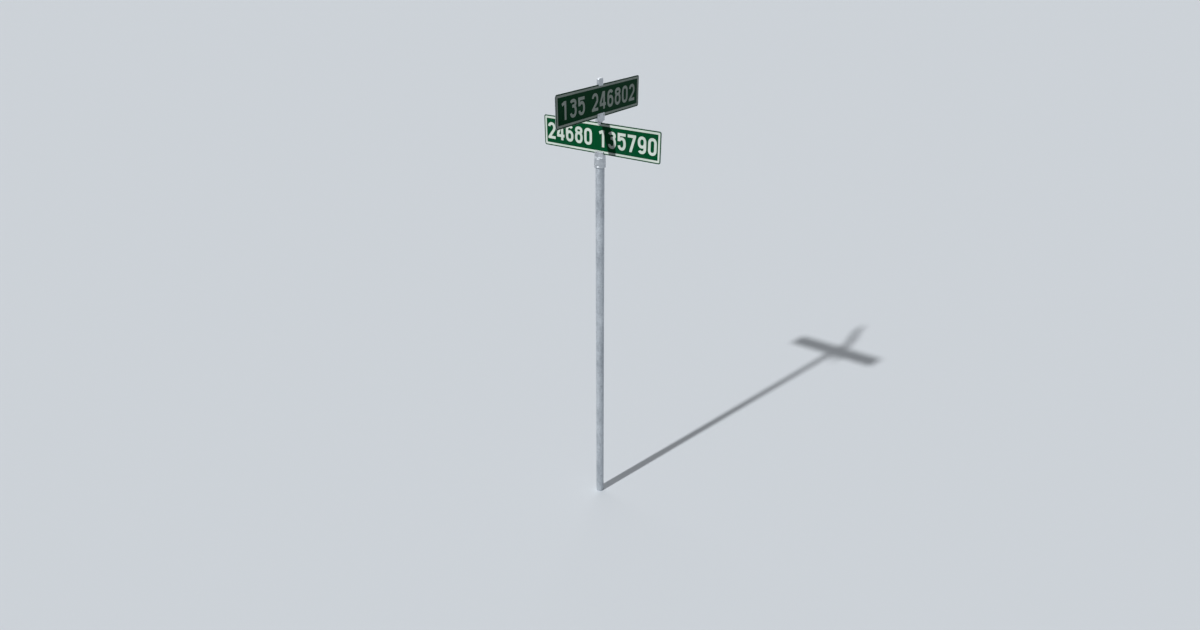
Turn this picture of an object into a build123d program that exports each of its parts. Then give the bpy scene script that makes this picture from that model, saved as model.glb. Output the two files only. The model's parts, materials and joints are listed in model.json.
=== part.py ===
from build123d import *
import os
from math import cos, radians, sin

# Street name sign: two flat blades that cross at a right angle above a round post.
# All sizes are in millimetres. The origin is the post's axis at ground level, with +Z up.
# The lower blade runs along X and shows its front to -Y. The upper one runs along Y and shows it to +X.

# Post: round galvanised steel tube
post_od = 60.3
post_wall = 2.4
post_height = 2853.0

# Blades: flat aluminium plate, with reflective sheeting and a border film on both faces
blade_length = 914.4
blade_height = 203.2
blade_thick = 3.2
blade_corner = 15.0
sheeting_thick = 0.3
sheeting_inset = 0.8
border_thick = 0.2
border_margin = 8.0
border_width = 13.0
border_inner_corner = 2.0

# Clearances
socket_clearance = 0.08
seat_gap = 0.3
slot_clearance = 0.3
thread_clearance = 0.05
tip_clearance = 0.12
screw_recess = 0.6
cut_past = 1.0

# Cap on the post: a collar over the tube, a roof across it and a slotted saddle on top
socket_depth = 57.0
collar_wall = 8.0
bead_height = 9.0
bead_step = 1.2
lead_in = 1.5
rim_bevel = 3.0
roof_thick = 8.0
saddle_length = 68.0
saddle_rise = 22.0
saddle_grip = 18.0
saddle_cheek = 12.6
saddle_draft = 2.5
saddle_foot = 2.5
saddle_round = 3.0
core_floor = 8.0
core_width = 16.0
core_ledge = 5.0
core_round = 3.0
collar_screw_count = 3
collar_screw_height = 20.0
boss_radius = 8.0
boss_proud = 1.6
saddle_screw_spread = 22.0

# Bracket between the blades: a foot across the lower blade and a long slotted bar for the upper one
bracket_length = 78.0
bracket_cheek = 8.6
bracket_web = 31.6
bracket_grip = 27.5
bracket_wing_rise = 9.0
bracket_round = 3.0
bracket_bevel = 1.5
bracket_wall = 5.0
foot_grip = 13.0
foot_lug = 8.5
foot_screw_spread = 5.5
bracket_screw_spread = 25.0

# Cap on the upper blade
top_length = 44.0
top_cheek = 11.1
top_grip = 8.0
top_crown = 38.0
top_corner = 9.0
top_round = 10.0
top_screw_spread = 8.0

# Set screws, by thread diameter: in the collar, saddle and bar, in the foot, and in the top cap
large_screw = 7.94
medium_screw = 4.83
small_screw = 4.17
slot_mouth = 0.8

# Heights and widths that follow from the sizes above
dressed_thick = blade_thick + 2 * (sheeting_thick + border_thick)
slot_width = dressed_thick + 2 * slot_clearance
bore_radius = post_od / 2 + socket_clearance
collar_radius = bore_radius + collar_wall
bead_radius = collar_radius + bead_step
roof_under = post_height + seat_gap
collar_bottom = roof_under - socket_depth
roof_top = roof_under + roof_thick
saddle_floor = roof_top + saddle_rise
saddle_top = saddle_floor + seat_gap + saddle_grip
saddle_width = slot_width + 2 * saddle_cheek
lower_bottom = saddle_floor + seat_gap
lower_top = lower_bottom + blade_height
foot_roof = lower_top + seat_gap
foot_bottom = lower_top - foot_grip
bracket_floor = foot_roof + bracket_web
upper_bottom = bracket_floor + seat_gap
bracket_top = upper_bottom + bracket_grip
bracket_width = slot_width + 2 * bracket_cheek
upper_top = upper_bottom + blade_height
top_roof = upper_top + seat_gap
top_bottom = upper_top - top_grip
top_width = slot_width + 2 * top_cheek
foot_width = slot_width + 2 * foot_lug
quarter_turn = 90


def at(origin, outward):
    """Place a shape with its own +Z along the direction outward, from the point origin."""
    return Plane(origin=origin, z_dir=outward)


def bevel_at(face, r, z, size):
    """Bevel the corner of a profile, drawn in the XZ plane, that lies nearest to (r, z)."""
    corner = face.vertices().sort_by_distance(Vector(r, 0, z))[0]
    return chamfer(corner, size)


def mirrored(half):
    """Complete a section, given as points (y, z), with the same points on the other side of y = 0."""
    return half + [(-y, z) for y, z in reversed(half)]


def prism(section, length):
    """A block that runs along X, centred, with a section given as points (y, z)."""
    return extrude(Plane.YZ * make_face(Polyline(*section, close=True)), length / 2, both=True)


def upright(radius, length):
    """A round bar on the origin, standing up +Z."""
    return Cylinder(radius, length, align=(Align.CENTER, Align.CENTER, Align.MIN))


def set_screw(diameter, length):
    """Socket set screw with its tip at the origin and its socket towards +Z."""
    socket = extrude(RegularPolygon(diameter / 4, 6, major_radius=False), diameter / 2)
    return upright(diameter / 2, length) - Pos(0, 0, length - diameter / 2) * socket


def screw_hole(diameter, depth):
    """The hole that a set screw turns in. It starts inside the slot or bore and runs out past the face."""
    return Pos(0, 0, -cut_past) * upright(diameter / 2 + thread_clearance, depth + 2 * cut_past)


def screws(diameter, places, turn=0):
    """One set screw in each hole, with its socket a little below the casting's face."""
    group = [Rot(0, 0, turn) * (place * set_screw(diameter, depth - screw_recess)) for place, depth in places]
    return Compound([screw.solid() for screw in group])


def slot(length, floor, mouth):
    """A straight slot along X, cut from its floor to its mouth, with a bevel that leads the blade in."""
    side = slot_width / 2
    inward = slot_mouth if floor > mouth else -slot_mouth
    past = mouth - inward
    half = [(side, floor), (side, mouth + inward), (side + 2 * slot_mouth, past)]
    return prism(mirrored(half), 2 * length)


def slot_screw_places(spread, height, half_width, sides):
    """Two set screws in each named cheek of a slot along X: each one's place and its hole's depth."""
    tip = slot_width / 2
    for x in (-spread, spread):
        for side in sides:
            yield at((x, side * tip, height), (0, side, 0)), half_width - tip


def turned(shape):
    """Turn a shape drawn along X so that it runs along Y, as the upper blade does."""
    return Rot(0, 0, quarter_turn) * shape


def blade_outline(inset):
    """A blade's outline, taken in by an inset, in the XZ plane round the origin."""
    corner = max(blade_corner - inset, border_inner_corner)
    return Plane.XZ * RectangleRounded(blade_length - 2 * inset, blade_height - 2 * inset, corner)


def blade_pieces(bottom):
    """One blade along X: the plate, and the films on its front (-Y) and back (+Y)."""
    centre = Pos(0, 0, bottom + blade_height / 2)
    plate = extrude(blade_outline(0), blade_thick / 2, both=True)
    sheeting = extrude(blade_outline(sheeting_inset), sheeting_thick)
    ring = blade_outline(border_margin) - blade_outline(border_margin + border_width)
    border = extrude(ring, border_thick)
    film = blade_thick / 2
    pieces = {
        "blade": plate,
        "front_sheeting": Pos(0, -film, 0) * sheeting,
        "back_sheeting": Pos(0, film + sheeting_thick, 0) * sheeting,
        "front_border": Pos(0, -film - sheeting_thick, 0) * border,
        "back_border": Pos(0, film + sheeting_thick + border_thick, 0) * border,
    }
    return {name: centre * piece for name, piece in pieces.items()}


def post():
    """The tube, cut square at both ends."""
    wall = Circle(post_od / 2) - Circle(post_od / 2 - post_wall)
    return extrude(wall, post_height)


def collar_screw_places():
    """The set screws round the collar: each one's place and its hole's depth."""
    tip = post_od / 2 + tip_clearance
    height = collar_bottom + collar_screw_height
    for index in range(collar_screw_count):
        angle = radians(360 / collar_screw_count * index)
        outward = (cos(angle), sin(angle), 0)
        yield at((tip * outward[0], tip * outward[1], height), outward), collar_radius + boss_proud - tip


def saddle_screw_places():
    """The set screws in both of the saddle's cheeks."""
    height = lower_bottom + saddle_grip / 2
    return slot_screw_places(saddle_screw_spread, height, saddle_width / 2, (-1, 1))


def foot_screw_places():
    """The set screws in the back lug of the bracket's foot."""
    return slot_screw_places(foot_screw_spread, foot_bottom + foot_grip / 2, foot_width / 2, (1,))


def bracket_screw_places():
    """The set screws in both of the bar's cheeks, as they lie before the bar is turned along Y."""
    height = upper_bottom + bracket_grip / 2
    return slot_screw_places(bracket_screw_spread, height, bracket_width / 2, (-1, 1))


def top_screw_places():
    """The set screws in the top cap's back cheek, as they lie before it is turned along Y."""
    return slot_screw_places(top_screw_spread, top_bottom + top_grip / 2, top_width / 2, (1,))


def collar():
    """The collar and the roof, turned about the post's axis, with a boss at each set screw."""
    shoulder = collar_bottom + bead_height
    profile = [
        (bore_radius + lead_in, collar_bottom),
        (bead_radius, collar_bottom),
        (bead_radius, shoulder),
        (collar_radius, shoulder + bead_step),
        (collar_radius, roof_top),
        (0, roof_top),
        (0, roof_under),
        (bore_radius, roof_under),
        (bore_radius, collar_bottom + lead_in),
    ]
    face = Plane.XZ * make_face(Polyline(*profile, close=True))
    face = bevel_at(face, collar_radius, roof_top, rim_bevel)
    face = bevel_at(face, bead_radius, collar_bottom, lead_in)
    body = revolve(face, Axis.Z)
    sunk = collar_wall / 2
    for place, depth in collar_screw_places():
        body += place * (Pos(0, 0, sunk) * upright(boss_radius, depth - sunk))
    return body


def saddle():
    """The block on the roof, before its slot is cut. It narrows upwards and has a bevel along its foot."""
    root = roof_under + roof_thick / 2
    base = saddle_width / 2 + saddle_draft
    block = prism(mirrored([(base, root), (saddle_width / 2, saddle_top)]), saddle_length)
    edges = block.edges().filter_by_position(Axis.Z, root, saddle_top, inclusive=(False, True))
    foot = prism(mirrored([(base + saddle_foot, roof_top), (base, roof_top + saddle_foot)]), saddle_length)
    roof_edge = Pos(0, 0, roof_top) * upright(collar_radius - rim_bevel, saddle_foot)
    return fillet(edges, saddle_round) + (foot & roof_edge)


def post_cap():
    """The casting that fits over the post and holds the lower blade in its saddle."""
    core_length = post_od - 2 * post_wall - 2 * core_ledge
    core_height = saddle_floor - core_floor - collar_bottom
    core = extrude(RectangleRounded(core_length, core_width, core_round), core_height)
    body = collar() + saddle() - Pos(0, 0, collar_bottom) * core
    body -= slot(saddle_length, saddle_floor, saddle_top)
    for place, depth in collar_screw_places():
        body -= place * screw_hole(large_screw, depth)
    for place, depth in saddle_screw_places():
        body -= place * screw_hole(large_screw, depth + saddle_draft)
    return body


def cross_bracket():
    """The casting that grips the lower blade's top edge and carries the upper blade across it."""
    foot = foot_width / 2
    end = bracket_length / 2
    half = [(foot, foot_bottom), (foot, foot_roof), (end, foot_roof + bracket_wing_rise), (end, bracket_top)]
    section = make_face(Polyline(*mirrored(half), close=True))
    section = fillet(section.vertices(), bracket_round)
    body = extrude(Plane.YZ * section, bracket_width / 2, both=True)
    faces = body.faces().sort_by(Axis.X)
    body = chamfer(faces[0].edges() + faces[-1].edges(), bracket_bevel)
    core_length = end - foot - 2 * bracket_wall
    core = extrude(RectangleRounded(bracket_width - 2 * bracket_wall, core_length, bracket_round),
                   bracket_floor - bracket_wall - foot_bottom)
    for side in (-1, 1):
        body -= Pos(0, side * (foot + bracket_wall + core_length / 2), foot_bottom) * core
    body -= slot(bracket_width, foot_roof, foot_bottom)
    body -= turned(slot(bracket_length, bracket_floor, bracket_top))
    for place, depth in foot_screw_places():
        body -= place * screw_hole(medium_screw, depth)
    for place, depth in bracket_screw_places():
        body -= turned(place * screw_hole(large_screw, depth))
    return body


def arch(width):
    """An upright section as high as the top cap, with both top corners rounded."""
    height = top_grip + top_crown
    section = Pos(0, height / 2) * Rectangle(width, height)
    return fillet(section.vertices().group_by(Axis.Y)[-1], top_round)


def top_cap():
    """The small crowned casting that straddles the upper blade's top edge: what its three outlines share."""
    plan = extrude(RectangleRounded(top_length, top_width, top_corner), top_grip + top_crown)
    side = extrude(Plane.YZ * arch(top_width), top_length, both=True)
    end = extrude(Plane.XZ * arch(top_length), top_width, both=True)
    body = Pos(0, 0, top_bottom) * (plan & side & end)
    body -= slot(top_length, top_roof, top_bottom)
    for place, depth in top_screw_places():
        body -= place * screw_hole(small_screw, depth)
    return body


os.makedirs("parts", exist_ok=True)

nodes = {
    "post": post(),
    "post_cap": post_cap(),
    "collar_set_screws": screws(large_screw, collar_screw_places()),
    "saddle_set_screws": screws(large_screw, saddle_screw_places()),
    "cross_bracket": cross_bracket(),
    "foot_set_screws": screws(medium_screw, foot_screw_places()),
    "bracket_set_screws": screws(large_screw, bracket_screw_places(), quarter_turn),
    "top_cap": turned(top_cap()),
    "top_cap_set_screws": screws(small_screw, top_screw_places(), quarter_turn),
}
for piece_name, piece in blade_pieces(lower_bottom).items():
    nodes["lower_" + piece_name] = piece
for piece_name, piece in blade_pieces(upper_bottom).items():
    nodes["upper_" + piece_name] = turned(piece)

for node_name, shape in nodes.items():
    export_step(shape, "parts/" + node_name + ".step")
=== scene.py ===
import json
import math

import bmesh
import bpy
from mathutils import Matrix, Vector
from mathutils.geometry import delaunay_2d_cdt


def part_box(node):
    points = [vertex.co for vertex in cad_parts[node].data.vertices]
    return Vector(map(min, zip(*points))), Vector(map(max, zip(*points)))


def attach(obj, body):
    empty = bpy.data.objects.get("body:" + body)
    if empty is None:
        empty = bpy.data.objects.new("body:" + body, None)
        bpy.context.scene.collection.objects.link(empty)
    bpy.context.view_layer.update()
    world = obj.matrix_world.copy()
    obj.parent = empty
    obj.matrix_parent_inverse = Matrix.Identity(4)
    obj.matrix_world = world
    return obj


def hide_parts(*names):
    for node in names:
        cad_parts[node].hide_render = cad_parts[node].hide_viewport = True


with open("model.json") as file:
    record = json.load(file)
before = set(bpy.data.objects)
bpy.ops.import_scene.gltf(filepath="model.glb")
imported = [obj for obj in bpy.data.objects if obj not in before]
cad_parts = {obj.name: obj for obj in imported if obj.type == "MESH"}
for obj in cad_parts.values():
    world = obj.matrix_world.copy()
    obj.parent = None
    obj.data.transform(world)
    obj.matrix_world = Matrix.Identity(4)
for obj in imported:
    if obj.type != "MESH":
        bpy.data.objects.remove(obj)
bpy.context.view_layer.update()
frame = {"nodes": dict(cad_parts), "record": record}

# Street name sign: the looks of the post, castings, blades, films and set screws, in metres.
# The lower blade runs along X with its front to -Y, the upper one along Y with its front to +X.
# A colour of three numbers is as seen on a screen, from 0 to 255, and one of four is linear.

# Camera: where the photograph was taken from, round the post's foot
CAMERA_AZIMUTH = 34.74
CAMERA_PITCH = 28.08
CAMERA_AWAY = 4.4047
CAMERA_HEIGHT = 4.0362
CAMERA_REACH = 1000
FOCAL_PIXELS = 675.52
PHOTO_WIDTH = 1200
SENSOR = 36.0

# Light: the way each lamp shines, its strength and the angle that it fills, and the even surround
LAMPS = {
    "key": {"travel": (0.312, 1.148, -1.0), "strength": 3.1, "angle": 1.5},
    "fill": {"travel": (0.75, -0.6, -0.45), "strength": 1.1, "angle": 70.0},
}
SKY_TINT = (0.93, 0.96, 1.0, 1.0)
SKY_STRENGTH = 0.2
SURROUND = (205, 211, 217)

# Floor
FLOOR_SIZE = 600.0
FLOOR_DROP = 0.0005
FLOOR_TONE = (207, 212, 217)
FLOOR_BOUNCE = (104, 108, 112)

# Tones of each finish
ZINC = {
    "weathered": (168, 175, 182), "clean": (207, 213, 218), "large_crystal": (212, 218, 224),
    "small_crystal": (132, 140, 148), "stain": (124, 131, 138), "weld": (132, 138, 144),
}
CAST = {
    "dull": (184, 188, 192), "bright": (205, 209, 213), "grain": (120, 126, 133), "pit": (84, 88, 92),
}
SHEET = {"dull": (150, 155, 160), "bright": (200, 204, 208), "dirt": (110, 114, 118)}
PLATING = {"dull": (140, 138, 130), "bright": (196, 196, 190)}
GREEN = {"faded": (6, 73, 42), "fresh": (0, 76, 40), "dust": (56, 94, 74), "lattice": (0, 38, 20)}
WHITE = {
    "faded": (202, 215, 206), "fresh": (218, 228, 220),
    "dust": (174, 180, 172), "lattice": (166, 178, 170),
}

# Reflective film: the squares of its lattice and the lines between them, as a mask
LATTICE_CELL = 0.0042
LATTICE_LINE = 0.00028
LATTICE_TURN = math.radians(45)
MASK_CELL = (1.0, 1.0, 1.0, 1.0)
MASK_LINE = (0.0, 0.0, 0.0, 1.0)

# Post: the tube, where its weld seam runs and how far it shows, and the warp of the zinc's crystals
TUBE_WALL = 0.0024
TUBE_SEGMENTS = 128
CUT_BEVEL = 0.0003
WELD_ANGLE = 2.2
WELD_STRENGTH = 0.35
CRYSTAL_WARP = 0.012

# Castings: the grain of their remeshed skin, how far their edges are eased, their seam and their pits
CAST_VOXEL = 0.0006
CAST_EASE = 0.5
CAST_EASE_ROUNDS = 14
CAST_KEEP = 0.25
SEAM_HALF_WIDTH = 0.0008
SEAM_RISE = 0.00025
SEAM_SINK = 0.01
SEAM_OFF_POST = 0.002
SEAM_OFF_BLADE = 0.0006
BRACKET_SEAM_FROM = 0.8
PIT_STRENGTH = 0.6

# Set screws: thread pitches, and shares of the pitch and of the socket's half width
LARGE_RADIUS = 0.003
LARGE_PITCH = 0.00141
SMALL_PITCH = 0.00079
THREAD_SEGMENTS = 28
THREAD_DEPTH = 0.55
THREAD_RUNOUT = 1.2
STEPS_PER_PITCH = 6
LEAST_STEPS = 8
SOCKET_MOUTH = 1.12
SOCKET_BEVEL = 0.1
SOCKET_DEPTH = 2

# Numbers on the blades: height, stroke and film, and the rows' words, widths and gaps
NUMBER_HEIGHT = 0.109
NUMBER_STROKE = 0.0185
NUMBER_FILM = 0.0002
NUMBER_CURVE = 2.35
ARC_STEPS = 32
LEAST_MITRE = 0.3
LOWER_ROW = {"words": ("24680", "135790"), "digit_width": 0.062, "gap": 0.0135, "word_gap": 0.050}
UPPER_ROW = {"words": ("135", "246802"), "digit_width": 0.068, "gap": 0.0175, "word_gap": 0.075}

# Meshes: what counts as one point, as one flat face and as a sharp edge
WELD = 1e-6
FILM_WELD = 1e-5
FLAT_ANGLE = 0.01
SHARP_EDGE = 35
SHARP_THREAD = 50


def srgb(red, green, blue):
    """A colour as seen on a screen, from 0 to 255, as the linear numbers that shaders use."""
    linear = []
    for value in (red, green, blue):
        share = value / 255
        linear.append(share / 12.92 if share <= 0.04045 else ((share + 0.055) / 1.055) ** 2.4)
    return (*linear, 1.0)


class Finish:
    """A procedural material, with short calls for the nodes that the finishes share."""

    def __init__(self, name, tones, **sockets):
        self.material = bpy.data.materials.new(name)
        self.material.use_nodes = True
        self.tree = self.material.node_tree
        self.surface = self.tree.nodes["Principled BSDF"]
        for socket, value in sockets.items():
            self.surface.inputs[socket.replace("_", " ")].default_value = value
        self.tone = {tone: srgb(*colour) for tone, colour in tones.items()}
        self.place = self.add("ShaderNodeTexCoord").outputs["Object"]

    def add(self, kind, **settings):
        node = self.tree.nodes.new(kind)
        for name, value in settings.items():
            setattr(node, name, value)
        return node

    def feed(self, node, **sources):
        """Set or link a node's inputs by name or, where names repeat, by number, from i0."""
        for name, source in sources.items():
            by_number = name[1:].isdigit()
            socket = node.inputs[int(name[1:]) if by_number else name.replace("_", " ")]
            if isinstance(source, bpy.types.NodeSocket):
                self.tree.links.new(source, socket)
            else:
                socket.default_value = source
        return node

    def mapped(self, scale=(1, 1, 1), turn=(0, 0, 0), source=None):
        node = self.add("ShaderNodeMapping")
        return self.feed(node, Vector=source or self.place, Scale=scale, Rotation=turn).outputs[0]

    def noise(self, scale, detail=4.0, roughness=0.55, source=None, output="Fac"):
        node = self.add("ShaderNodeTexNoise")
        self.feed(node, Vector=source or self.place, Scale=scale, Detail=detail, Roughness=roughness)
        return node.outputs[output]

    def cells(self, scale, source=None, output="Color"):
        node = self.add("ShaderNodeTexVoronoi")
        return self.feed(node, Vector=source or self.place, Scale=scale).outputs[output]

    def channel(self, colour):
        """One channel of a random colour, which is spread evenly from 0 to 1."""
        return self.feed(self.add("ShaderNodeSeparateColor"), Color=colour).outputs[0]

    def math(self, operation, first, second=0.0):
        node = self.add("ShaderNodeMath", operation=operation)
        return self.feed(node, i0=first, i1=second).outputs[0]

    def ramp(self, factor, low=0.0, high=1.0, start=0.0, end=1.0):
        """Spread a factor's range from low to high over the range from start to end."""
        node = self.add("ShaderNodeMapRange")
        self.feed(node, Value=factor, From_Min=low, From_Max=high, To_Min=start, To_Max=end)
        return node.outputs[0]

    def mix(self, factor, first, second, blend="MIX"):
        node = self.add("ShaderNodeMix", data_type="RGBA", blend_type=blend)
        return self.feed(node, i0=factor, i6=first, i7=second).outputs[2]

    def bump(self, height, distance, under=None):
        node = self.add("ShaderNodeBump")
        self.feed(node, Height=height, Distance=distance)
        if under:
            self.feed(node, Normal=under)
        return node.outputs[0]

    def finish(self, **sources):
        self.feed(self.surface, **sources)
        return self.material


def galvanised():
    """Zinc on steel: crystals of several tones, cloudy weathering, short runs and a faint weld seam."""
    f = Finish("galvanised_zinc", ZINC, Metallic=0.7)
    warp = f.mix(CRYSTAL_WARP, f.place, f.noise(scale=30, detail=2, output="Color"), blend="ADD")
    large = f.channel(f.cells(scale=62, source=f.mapped(scale=(1, 1, 0.7), source=warp)))
    small = f.channel(f.cells(scale=190, source=warp))
    cloud = f.noise(scale=13, detail=5, roughness=0.6, source=f.mapped(scale=(1, 1, 0.4)))
    stain = f.ramp(f.noise(scale=34, roughness=0.6), low=0.5, high=0.72)
    zinc = f.mix(f.ramp(cloud, low=0.34, high=0.66), f.tone["weathered"], f.tone["clean"])
    zinc = f.mix(f.ramp(large, end=0.42), zinc, f.tone["large_crystal"])
    zinc = f.mix(f.ramp(small, low=0.5, end=0.3), zinc, f.tone["small_crystal"])
    zinc = f.mix(f.ramp(stain, end=0.3), zinc, f.tone["stain"])
    place = f.feed(f.add("ShaderNodeSeparateXYZ"), Vector=f.place)
    turn = f.math("ARCTAN2", place.outputs[1], place.outputs[0])
    off_weld = f.math("ABSOLUTE", f.math("SUBTRACT", turn, WELD_ANGLE))
    weld = f.ramp(off_weld, low=0.03, high=0.07, start=1.0, end=0.0)
    zinc = f.mix(f.math("MULTIPLY", weld, WELD_STRENGTH), zinc, f.tone["weld"])
    rough = f.ramp(f.math("ADD", large, cloud), low=0.3, high=1.5, start=0.34, end=0.62)
    grain = f.bump(f.noise(scale=900, detail=2, roughness=0.6), distance=0.00008)
    runs = f.noise(scale=60, detail=3, roughness=0.5, source=f.mapped(scale=(1, 1, 0.25)))
    relief = f.bump(runs, distance=0.0005, under=grain)
    return f.finish(Base_Color=zinc, Roughness=rough, Normal=relief)


def cast_aluminium():
    """Sand-cast aluminium with a grainy skin, dull hollows and a few darker pits."""
    f = Finish("cast_aluminium", CAST, Metallic=0.95)
    cloud = f.noise(scale=38, roughness=0.6)
    metal = f.mix(f.ramp(cloud, low=0.35, high=0.7), f.tone["dull"], f.tone["bright"])
    grain = f.noise(scale=700, detail=3, roughness=0.7)
    pits = f.ramp(f.cells(scale=300, output="Distance"), high=0.16, start=1.0, end=0.0)
    spots = f.math("MULTIPLY", pits, f.ramp(f.noise(scale=90, detail=2), low=0.55, high=0.7))
    metal = f.mix(f.ramp(grain, low=0.3, high=0.7, end=0.22), metal, f.tone["grain"])
    metal = f.mix(f.math("MULTIPLY", spots, PIT_STRENGTH), metal, f.tone["pit"])
    rough = f.ramp(cloud, low=0.3, high=0.7, start=0.32, end=0.48)
    skin = f.bump(grain, distance=0.00042)
    skin = f.bump(f.math("SUBTRACT", 1.0, spots), distance=0.0003, under=skin)
    return f.finish(Base_Color=metal, Roughness=rough, Normal=skin)


def rolled_aluminium():
    """Bare sheet at the blades' edges, with fine lines from rolling and shearing."""
    f = Finish("rolled_aluminium", SHEET, Metallic=0.85)
    lines = f.noise(scale=400, detail=3, roughness=0.6, source=f.mapped(scale=(0.02, 0.02, 1)))
    metal = f.mix(f.ramp(lines, low=0.3, high=0.7), f.tone["dull"], f.tone["bright"])
    metal = f.mix(f.ramp(f.noise(scale=30), low=0.5, high=0.75, end=0.4), metal, f.tone["dirt"])
    rough = f.ramp(lines, low=0.3, high=0.7, start=0.32, end=0.5)
    return f.finish(Base_Color=metal, Roughness=rough, Normal=f.bump(lines, distance=0.00004))


def along_and_up(f):
    """Coordinates on a blade's face: along it and up it, whichever way the blade runs."""
    parts = f.feed(f.add("ShaderNodeSeparateXYZ"), Vector=f.place)
    joined = f.add("ShaderNodeCombineXYZ")
    f.feed(joined, X=f.math("ADD", parts.outputs[0], parts.outputs[1]), Y=parts.outputs[2])
    return joined.outputs[0]


def reflective(name, tones):
    """Reflective film: clear top over a sealed lattice of prisms, with dust and faint rain streaks."""
    f = Finish(name, tones, Specular_IOR_Level=0.03)
    face = along_and_up(f)
    lattice = f.add("ShaderNodeTexBrick", offset=0.0, squash=1.0)
    f.feed(lattice, Vector=f.mapped(turn=(0, 0, LATTICE_TURN), source=face), Scale=1.0,
           Color1=MASK_CELL, Color2=MASK_CELL, Mortar=MASK_LINE, Mortar_Size=LATTICE_LINE,
           Mortar_Smooth=0.5, Brick_Width=LATTICE_CELL, Row_Height=LATTICE_CELL)
    cells = lattice.outputs["Color"]
    patches = f.noise(scale=7, source=face)
    colour = f.mix(f.ramp(patches, low=0.35, high=0.65), f.tone["faded"], f.tone["fresh"])
    colour = f.mix(f.ramp(cells, start=0.16, end=0.0), colour, f.tone["lattice"])
    streaks = f.noise(scale=60, roughness=0.6, source=f.mapped(scale=(1, 0.06, 1), source=face))
    colour = f.mix(f.ramp(streaks, low=0.52, high=0.8, end=0.22), colour, f.tone["dust"])
    rough = f.ramp(f.math("ADD", patches, streaks), low=0.6, high=1.4, start=0.26, end=0.44)
    waves = f.noise(scale=14, detail=3, roughness=0.5, source=face)
    relief = f.bump(waves, distance=0.0002, under=f.bump(cells, distance=0.00003))
    return f.finish(Base_Color=colour, Roughness=rough, Normal=relief)


def zinc_plate():
    """Bright plated steel for the set screws."""
    f = Finish("zinc_plate", PLATING, Metallic=1.0)
    cloud = f.noise(scale=260, detail=3, roughness=0.6)
    metal = f.mix(f.ramp(cloud, low=0.35, high=0.7), f.tone["dull"], f.tone["bright"])
    rough = f.ramp(cloud, low=0.3, high=0.7, start=0.28, end=0.5)
    return f.finish(Base_Color=metal, Roughness=rough, Normal=f.bump(cloud, distance=0.00003))


FINISHES = {
    "galvanised_steel": galvanised(),
    "cast_aluminium": cast_aluminium(),
    "blade_aluminium": rolled_aluminium(),
    "green_sheeting": reflective("green_film", GREEN),
    "white_sheeting": reflective("white_film", WHITE),
    "zinc_plated_steel": zinc_plate(),
}


def dress(obj, slot):
    """Give a piece the finish of a material slot and nothing else."""
    obj.data.materials.clear()
    obj.data.materials.append(FINISHES[slot])


def piece(name, mesh, body, slot, node=None):
    """A piece of the scene that rides on a body, takes a slot's finish and may stand for a CAD node."""
    obj = bpy.data.objects.new(name, mesh)
    bpy.context.scene.collection.objects.link(obj)
    dress(obj, slot)
    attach(obj, body)
    if node:
        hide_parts(node)
    return obj


def mesh_from(name, build, sharp_from=SHARP_EDGE):
    """A mesh from what build makes in bmesh, shaded smooth across edges that turn less than an angle."""
    shape = bmesh.new()
    build(shape)
    bmesh.ops.recalc_face_normals(shape, faces=shape.faces)
    for face in shape.faces:
        face.smooth = True
    for edge in shape.edges:
        turn = edge.calc_face_angle(0) if len(edge.link_faces) == 2 else 0
        edge.smooth = turn < math.radians(sharp_from)
    mesh = bpy.data.meshes.new(name)
    shape.to_mesh(mesh)
    shape.free()
    return mesh


def welded_copy(node):
    """A CAD node's faces in bmesh, with one point where its faces meet."""
    shape = bmesh.new()
    shape.from_mesh(frame["nodes"][node].data)
    bmesh.ops.remove_doubles(shape, verts=shape.verts, dist=WELD)
    return shape


def loft(shape, rings, close_ends=True):
    """Skin a list of rings, each a list of points, and close the ends or join the last to the first."""
    rows = [[shape.verts.new(point) for point in ring] for ring in rings]
    count = len(rows[0])
    pairs = list(zip(rows, rows[1:]))
    if not close_ends:
        pairs.append((rows[-1], rows[0]))
    for low, high in pairs:
        for i in range(count):
            j = (i + 1) % count
            shape.faces.new((low[i], low[j], high[j], high[i]))
    if close_ends:
        shape.faces.new(reversed(rows[0]))
        shape.faces.new(rows[-1])


def polar(radius, angle, height):
    """The point at a distance from the Z axis, an angle round it and a height."""
    return Vector((radius * math.cos(angle), radius * math.sin(angle), height))


def circle(radius, height, segments):
    """Points round the Z axis at a height."""
    return [polar(radius, 2 * math.pi * i / segments, height) for i in range(segments)]


def hexagon(half_width, height, segments):
    """Points round the Z axis on a hexagon, as many as a circle has."""
    points = []
    for i in range(segments):
        angle = 2 * math.pi * i / segments
        within = (angle + math.pi / 6) % (math.pi / 3) - math.pi / 6
        points.append(polar(half_width / math.cos(within), angle, height))
    return points


def post_tube():
    """The post as a fine round tube, with its cut ends just broken."""
    low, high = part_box("post")
    outer = high.x
    inner = outer - TUBE_WALL
    profile = [
        (inner, low.z), (outer - CUT_BEVEL, low.z), (outer, low.z + CUT_BEVEL),
        (outer, high.z - CUT_BEVEL), (outer - CUT_BEVEL, high.z), (inner, high.z),
    ]
    rings = [circle(radius, height, TUBE_SEGMENTS) for radius, height in profile]
    mesh = mesh_from("post_tube", lambda shape: loft(shape, rings, close_ends=False))
    piece("post_tube", mesh, "post", "galvanised_steel", "post")


def applied(mesh, modifiers):
    """A mesh after some modifiers, each given as its kind and its settings."""
    obj = bpy.data.objects.new("work", mesh)
    bpy.context.scene.collection.objects.link(obj)
    for kind, settings in modifiers:
        modifier = obj.modifiers.new(kind.lower(), kind)
        for name, value in settings.items():
            setattr(modifier, name, value)
    made = bpy.data.meshes.new_from_object(obj.evaluated_get(bpy.context.evaluated_depsgraph_get()))
    bpy.data.objects.remove(obj)
    return made


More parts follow.
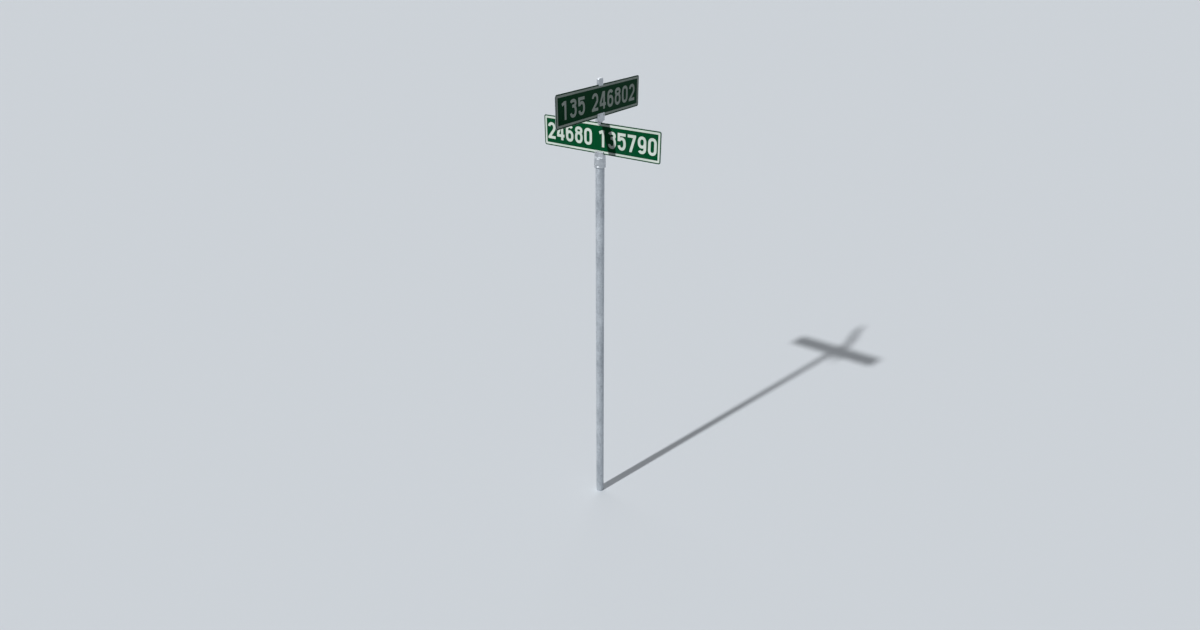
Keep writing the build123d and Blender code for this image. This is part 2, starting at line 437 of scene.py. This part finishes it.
def casting(node, body, seam_axis, has_seam):
    """A casting's skin: the CAD solid in a fine mesh, with eased edges and its mould's parting line."""
    shape = welded_copy(node)
    solid = bpy.data.meshes.new(node)
    shape.to_mesh(solid)
    shape.free()
    skin = applied(solid, [
        ("REMESH", {"mode": "VOXEL", "voxel_size": CAST_VOXEL, "use_smooth_shade": True}),
        ("SMOOTH", {"iterations": CAST_EASE_ROUNDS, "factor": CAST_EASE}),
    ])
    # What the seam adds on top is taken out just below, so that the skin stays in the CAD model's box.
    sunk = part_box(node)[1].z - SEAM_SINK
    for vertex in skin.vertices:
        away = abs(vertex.co[seam_axis]) / SEAM_HALF_WIDTH
        if away < 1 and has_seam(vertex.co):
            vertex.co += vertex.normal * SEAM_RISE * (1 - away * away)
        if vertex.co.z > sunk:
            vertex.co.z -= SEAM_RISE * (vertex.co.z - sunk) / SEAM_SINK
    skin = applied(skin, [("DECIMATE", {"ratio": CAST_KEEP})])
    skin.polygons.foreach_set("use_smooth", [True] * len(skin.polygons))
    piece(node + "_skin", skin, body, "cast_aluminium", node)


def islands(node):
    """The separate solids of a node, each as a list of its points."""
    shape = welded_copy(node)
    left = set(shape.verts)
    groups = []
    while left:
        todo = [next(vert for vert in shape.verts if vert in left)]
        left.discard(todo[0])
        group = []
        while todo:
            vert = todo.pop()
            group.append(vert.co.copy())
            for edge in vert.link_edges:
                other = edge.other_vert(vert)
                if other in left:
                    left.discard(other)
                    todo.append(other)
        groups.append(group)
    shape.free()
    return groups


def screw(radius, length):
    """Rings of a set screw with a cut thread, from its tip, at the origin, up +Z and into its socket."""
    pitch = LARGE_PITCH if radius > LARGE_RADIUS else SMALL_PITCH
    depth = THREAD_DEPTH * pitch
    steps = max(LEAST_STEPS, round(length / pitch) * STEPS_PER_PITCH)
    rings = []
    for step in range(steps + 1):
        height = length * step / steps
        ends = min(height, length - height) / (THREAD_RUNOUT * pitch)
        points = []
        for i in range(THREAD_SEGMENTS):
            share = i / THREAD_SEGMENTS
            wave = abs(((height / pitch - share) % 1) * 2 - 1)
            thread = radius - depth * max(wave, 1 - min(1.0, ends) * (1 + wave) / 2)
            points.append(polar(thread, 2 * math.pi * share, height))
        rings.append(points)
    socket = radius / 2
    rings.append(hexagon(SOCKET_MOUTH * socket, length, THREAD_SEGMENTS))
    rings.append(hexagon(socket, length - SOCKET_BEVEL * socket, THREAD_SEGMENTS))
    rings.append(hexagon(socket, length - SOCKET_DEPTH * socket, THREAD_SEGMENTS))
    return rings


def screw_axis(centre, across):
    """The way a set screw points, away from the post's axis or out of the cheek that it lies in."""
    if across == "radial":
        return Vector((centre.x, centre.y, 0)).normalized()
    if across == "x":
        return Vector((math.copysign(1, centre.x), 0, 0))
    return Vector((0, math.copysign(1, centre.y), 0))


def set_screws(node, body, across):
    """Dress each solid of a node as a set screw that points outwards, radially or along X or Y."""
    def build(shape):
        for points in islands(node):
            centre = sum(points, Vector()) / len(points)
            axis = screw_axis(centre, across)
            heights = [point.dot(axis) for point in points]
            tip, end = min(heights), max(heights)
            foot = centre - axis * (centre.dot(axis) - tip)
            radius = max(((point - foot) - axis * (point - foot).dot(axis)).length for point in points)
            place = Matrix.Translation(foot) @ axis.to_track_quat("Z", "Y").to_matrix().to_4x4()
            loft(shape, [[place @ point for point in ring] for ring in screw(radius, end - tip)])

    name = node + "_threaded"
    piece(name, mesh_from(name, build, SHARP_THREAD), body, "zinc_plated_steel", node)


def bend(centre, reach, start, end):
    """Points on a squarish oval, from one angle to another in degrees."""
    steps = max(2, round(ARC_STEPS * abs(end - start) / 180))
    points = []
    for step in range(steps + 1):
        angle = math.radians(start + (end - start) * step / steps)
        across = math.copysign(abs(math.cos(angle)) ** (2 / NUMBER_CURVE), math.cos(angle))
        up = math.copysign(abs(math.sin(angle)) ** (2 / NUMBER_CURVE), math.sin(angle))
        points.append((centre[0] + reach[0] * across, centre[1] + reach[1] * up))
    return points


def digit_strokes(digit, width):
    """The middle lines of a digit's strokes, in a box of the number height: (points, closed) each."""
    half = NUMBER_STROKE / 2
    height = NUMBER_HEIGHT
    left, right = half, width - half
    low, high = half, height - half
    middle = width / 2
    reach = right - middle
    tall = 1.15 * reach
    lower = 0.268 * height
    upper = (high - low) / 2 - lower
    waist = low + 2 * lower
    if digit == "0":
        roof = bend((middle, high - tall), (reach, tall), 0, 180)
        return [(roof + bend((middle, low + tall), (reach, tall), 180, 360), True)]
    if digit == "1":
        stem, flag_tip = 0.62 * width, 0.14 * width
        rise = 0.36 * half
        flag = [(stem, high + rise), (flag_tip, 0.79 * height + rise)]
        return [([(stem, 0), (stem, height)], False), (flag, False)]
    if digit == "2":
        mouth, neck = 168, -28
        hook = bend((middle, high - tall), (reach, tall), mouth, neck)
        return [(hook + [(left, low), (width, low)], False)]
    if digit == "3":
        mouth, tail = 160, -162
        bar_end = (0.36 * width, waist)
        top = bend((middle, high - upper), (0.94 * reach, upper), mouth, -90)
        bowl = bend((middle, low + lower), (reach, lower), 90, tail)
        return [(top + [bar_end], False), ([bar_end] + bowl, False)]
    if digit == "4":
        stem, bar = 0.70 * width, 0.27 * height
        bar_start, slope_top = 0.32 * left, stem - 0.2 * half
        return [([(stem, 0), (stem, height)], False),
                ([(width, bar), (bar_start, bar), (slope_top, height + half)], False)]
    if digit == "5":
        mouth, tail = 148, -162
        belly = 1.12 * lower
        bowl = bend((middle, low + belly), (reach, belly), mouth, tail)
        (x, y), (next_x, next_y) = bowl[:2]
        run = math.hypot(next_x - x, next_y - y)
        heel_x = x + half * (next_y - y) / run
        heel_y = y - half * (next_x - x) / run
        flag_end = 0.96 * width
        stem = [(flag_end, high), (left, high), (left, heel_y)]
        root = [(left, heel_y + half), (heel_x, heel_y + half)]
        return [(stem, False), (root, False), (bowl, False)]
    if digit == "6":
        mouth = 34
        belly = 0.96 * lower
        loop = bend((middle, low + belly), (reach, belly), 0, 360)
        back = bend((middle, high - tall), (reach, tall), mouth, 180) + [(left, low + lower)]
        return [(loop[:-1], True), (back, False)]
    if digit == "7":
        foot = 0.30 * width
        return [([(0, high), (right, high), (foot, -half)], False)]
    if digit == "8":
        top = bend((middle, high - upper), (0.93 * reach, upper), 0, 360)
        bowl = bend((middle, low + lower), (reach, lower), 0, 360)
        return [(top[:-1], True), (bowl[:-1], True)]
    turned = digit_strokes("6", width)
    return [([(width - x, height - y) for x, y in points], closed) for points, closed in turned]


def clipped(polygon, width):
    """The part of a convex polygon inside a digit's box."""
    limits = ((0, 0, 1), (0, width, -1), (1, 0, 1), (1, NUMBER_HEIGHT, -1))
    for axis, limit, sign in limits:
        kept = []
        for i, point in enumerate(polygon):
            before = polygon[i - 1]
            here, there = sign * (point[axis] - limit), sign * (before[axis] - limit)
            if here * there < 0:
                share = there / (there - here)
                kept.append(tuple(b + (p - b) * share for b, p in zip(before, point)))
            if here >= 0:
                kept.append(point)
        polygon = kept
    return polygon


def stroke_quads(points, closed):
    """Quads along a middle line, one stroke wide, mitred where the line turns."""
    half = NUMBER_STROKE / 2
    count = len(points)
    spots = [Vector(point) for point in points]
    sides = []
    for i in range(count):
        before = spots[i - 1] if closed or i else None
        after = spots[(i + 1) % count] if closed or i < count - 1 else None
        into = (spots[i] - before).normalized() if before else None
        out = (after - spots[i]).normalized() if after else None
        into = into or out
        out = out or into
        normal = Vector((-(into + out).y, (into + out).x)).normalized()
        reach = half / max(LEAST_MITRE, normal.dot(Vector((-into.y, into.x))))
        sides.append((spots[i] + normal * reach, spots[i] - normal * reach))
    last = count if closed else count - 1
    for i in range(last):
        (a, b), (c, d) = sides[i], sides[(i + 1) % count]
        yield [tuple(a), tuple(b), tuple(d), tuple(c)]


def digit_faces(digit, width):
    """Triangles that cover a digit, with no overlap where its strokes cross: (points, triangles)."""
    spots, faces = [], []
    for points, closed in digit_strokes(digit, width):
        for quad in stroke_quads(points, closed):
            shape = clipped(quad, width)
            if len(shape) > 2:
                faces.append(list(range(len(spots), len(spots) + len(shape))))
                spots += [Vector(point) for point in shape]
    points, _, triangles, _, _, sources = delaunay_2d_cdt(spots, [], faces, 0, WELD)
    return points, [triangle for triangle, source in zip(triangles, sources) if source]


def layout(words, digit_width, gap, word_gap):
    """The digits of a row of words and where each starts, centred on the blade."""
    placed, cursor = [], 0.0
    for word in words:
        for digit in word:
            placed.append((digit, cursor))
            cursor += digit_width + gap
        cursor += word_gap - gap
    length = cursor - word_gap
    return [(digit, start - length / 2) for digit, start in placed]


def numbers(side, face, body, row):
    """White film numbers on one face of a blade, laid on its green film."""
    low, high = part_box(f"{side}_{face}_sheeting")
    centre = (low + high) / 2
    across = Vector((1, 0, 0)) if side == "lower" else Vector((0, 1, 0))
    outward = Vector((0, -1, 0)) if side == "lower" else Vector((1, 0, 0))
    if face == "back":
        across, outward = -across, -outward
    surface = centre + outward * abs((high - low).dot(outward)) / 2
    bottom = surface - Vector((0, 0, NUMBER_HEIGHT / 2))

    def build(shape):
        for digit, start in layout(**row):
            points, triangles = digit_faces(digit, row["digit_width"])
            spots = [bottom + across * (start + p.x) + Vector((0, 0, p.y)) for p in points]
            verts = [shape.verts.new(spot) for spot in spots]
            for triangle in triangles:
                shape.faces.new([verts[i] for i in triangle])
        loose = [vert for vert in shape.verts if not vert.link_faces]
        bmesh.ops.delete(shape, geom=loose, context="VERTS")
        bmesh.ops.remove_doubles(shape, verts=shape.verts, dist=FILM_WELD)
        bmesh.ops.dissolve_degenerate(shape, dist=FILM_WELD, edges=shape.edges)
        bmesh.ops.dissolve_limit(shape, angle_limit=FLAT_ANGLE, verts=shape.verts, edges=shape.edges)
        raised = bmesh.ops.extrude_face_region(shape, geom=shape.faces[:], use_keep_orig=True)
        tops = [item for item in raised["geom"] if isinstance(item, bmesh.types.BMVert)]
        bmesh.ops.translate(shape, verts=tops, vec=outward * NUMBER_FILM)

    name = f"{side}_{face}_numbers"
    piece(name, mesh_from(name, build), body, "white_sheeting")


def camera():
    """The camera, at the photograph's place and angle."""
    data = bpy.data.cameras.new("camera")
    data.sensor_width = SENSOR
    data.lens = FOCAL_PIXELS * SENSOR / PHOTO_WIDTH
    data.clip_end = CAMERA_REACH
    obj = bpy.data.objects.new("camera", data)
    bpy.context.scene.collection.objects.link(obj)
    azimuth = math.radians(CAMERA_AZIMUTH)
    obj.location = (CAMERA_AWAY * math.sin(azimuth), -CAMERA_AWAY * math.cos(azimuth), CAMERA_HEIGHT)
    obj.rotation_euler = (math.radians(90 - CAMERA_PITCH), 0, azimuth)
    bpy.context.scene.camera = obj


def seen_directly(tree):
    """1 for rays from the camera, a reflection or glass, so that they see the backdrop's own tone."""
    path = tree.nodes.new("ShaderNodeLightPath")
    total = path.outputs["Is Camera Ray"]
    for name in ("Is Glossy Ray", "Is Transmission Ray"):
        both = tree.nodes.new("ShaderNodeMath")
        both.operation = "MAXIMUM"
        tree.links.new(total, both.inputs[0])
        tree.links.new(path.outputs[name], both.inputs[1])
        total = both.outputs[0]
    return total


def shader(tree, kind, colour):
    """A plain shader of one colour."""
    node = tree.nodes.new(kind)
    node.inputs["Color"].default_value = colour
    return node


def show(tree, lighting, seen, output):
    """Light the object with one shader and let the camera and reflections see another."""
    blend = tree.nodes.new("ShaderNodeMixShader")
    tree.links.new(seen_directly(tree), blend.inputs[0])
    tree.links.new(lighting.outputs[0], blend.inputs[1])
    tree.links.new(seen.outputs[0], blend.inputs[2])
    tree.links.new(blend.outputs[0], tree.nodes[output].inputs["Surface"])


def light():
    """A key and a fill, each with soft edges, and an even pale surround."""
    for name, lamp in LAMPS.items():
        data = bpy.data.lights.new(name, "SUN")
        data.energy = lamp["strength"]
        data.angle = math.radians(lamp["angle"])
        obj = bpy.data.objects.new(name, data)
        obj.rotation_mode = "QUATERNION"
        obj.rotation_quaternion = Vector(lamp["travel"]).to_track_quat("-Z", "Y")
        bpy.context.scene.collection.objects.link(obj)
    world = bpy.data.worlds.new("surround")
    bpy.context.scene.world = world
    world.use_nodes = True
    tree = world.node_tree
    sky = tree.nodes["Background"]
    sky.inputs["Color"].default_value = SKY_TINT
    sky.inputs["Strength"].default_value = SKY_STRENGTH
    show(tree, sky, shader(tree, "ShaderNodeBackground", srgb(*SURROUND)), "World Output")


def floor():
    """A plain pale floor that keeps the sign's shadow."""
    mesh = bpy.data.meshes.new("floor")
    half = FLOOR_SIZE / 2
    corners = [(-half, -half, 0), (half, -half, 0), (half, half, 0), (-half, half, 0)]
    mesh.from_pydata(corners, [], [(0, 1, 2, 3)])
    obj = bpy.data.objects.new("floor", mesh)
    obj.location.z = -FLOOR_DROP
    bpy.context.scene.collection.objects.link(obj)
    material = bpy.data.materials.new("floor")
    material.use_nodes = True
    tree = material.node_tree
    tree.nodes.remove(tree.nodes["Principled BSDF"])
    seen = shader(tree, "ShaderNodeBsdfDiffuse", srgb(*FLOOR_TONE))
    show(tree, shader(tree, "ShaderNodeBsdfDiffuse", srgb(*FLOOR_BOUNCE)), seen, "Material Output")
    mesh.materials.append(material)


bpy.context.scene.view_settings.view_transform = "Standard"
camera()
light()
floor()

slot_of = {row["node"]: row["material_slot"] for row in frame["record"]["subparts"]}
for node, obj in frame["nodes"].items():
    dress(obj, slot_of[node])

post_tube()
post_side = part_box("post")[1].x + SEAM_OFF_POST
post_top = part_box("post")[1].z
blade_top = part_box("upper_blade")[1].z + SEAM_OFF_BLADE
bracket_side = BRACKET_SEAM_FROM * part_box("cross_bracket")[1].y
casting("post_cap", "head", 1, lambda spot: abs(spot.x) > post_side and spot.z < post_top)
casting("cross_bracket", "crosspiece", 0, lambda spot: abs(spot.y) > bracket_side)
casting("top_cap", "crown", 0, lambda spot: spot.z > blade_top)
set_screws("collar_set_screws", "head", "radial")
set_screws("saddle_set_screws", "head", "y")
set_screws("foot_set_screws", "crosspiece", "y")
set_screws("bracket_set_screws", "crosspiece", "x")
set_screws("top_cap_set_screws", "crown", "x")

for face in ("front", "back"):
    numbers("lower", face, "lower_sign", LOWER_ROW)
    numbers("upper", face, "upper_sign", UPPER_ROW)
